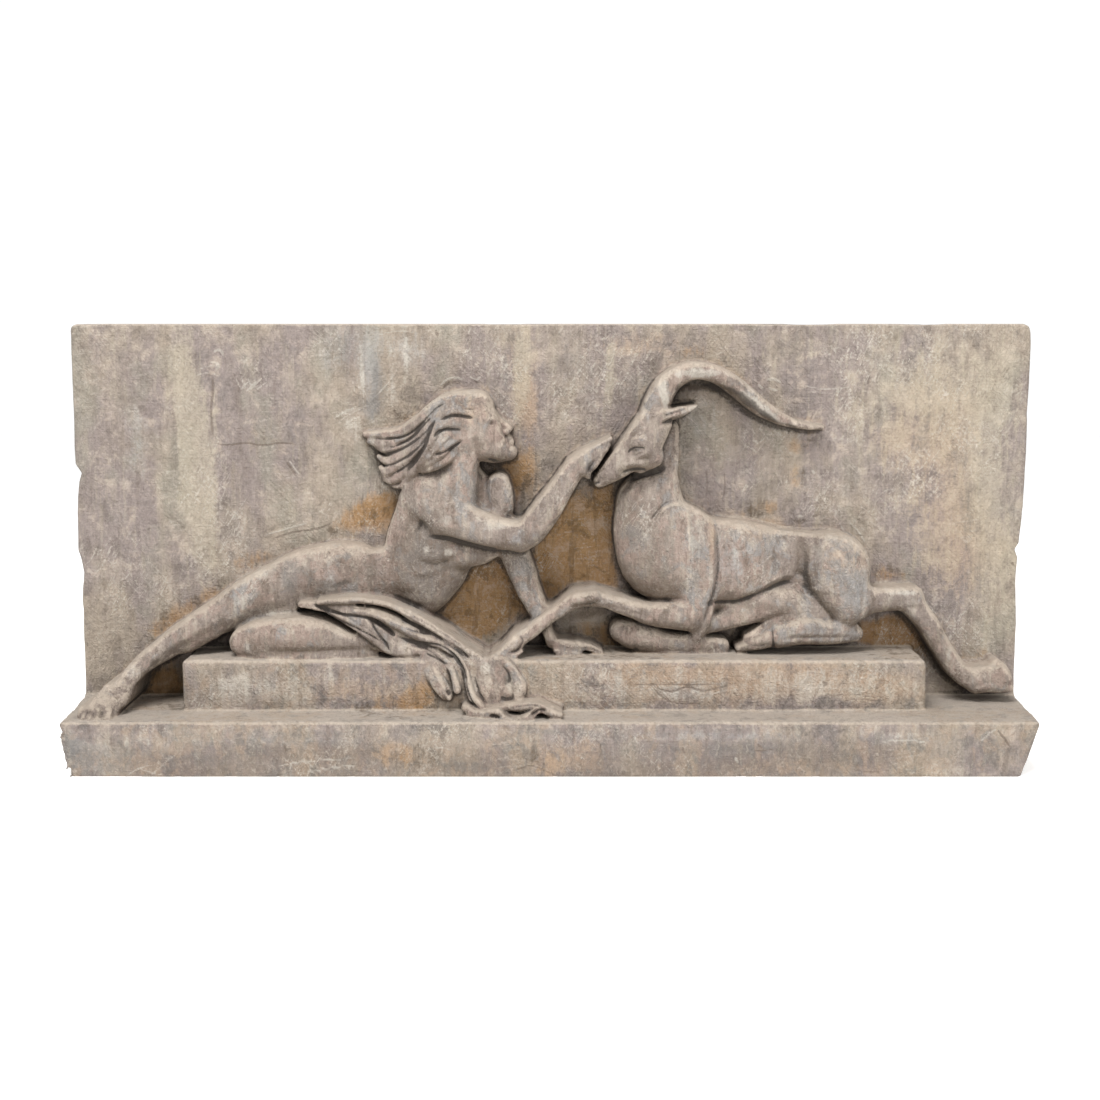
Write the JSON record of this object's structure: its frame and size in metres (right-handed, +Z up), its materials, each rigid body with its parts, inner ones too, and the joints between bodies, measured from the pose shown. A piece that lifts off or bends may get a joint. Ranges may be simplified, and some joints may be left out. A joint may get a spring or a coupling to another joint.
{
  "type": "wall relief",
  "caption": "Wide cast wall relief on a stepped ledge: a reclining figure with flowing hair and a cloth reaches to a resting antelope.",
  "frame": {"origin": "middle of the underside's bounding rectangle: half-way across the width and half-way from the ledge's front to the panel's back, level with the underside", "axes": "+X to the right seen from the front, -Y out of the carved front towards the viewer, +Y into the wall, +Z up"},
  "size_m": [1.5, 0.232, 0.675],
  "materials": {
    "cast_plaster": "matte painted and patinated fibre-reinforced cast plaster, weathered beige and lilac-grey with ochre and dark brown in the hollows"
  },
  "bodies": {
    "root": {"wall_relief": "cast_plaster"}
  },
  "joints": []
}
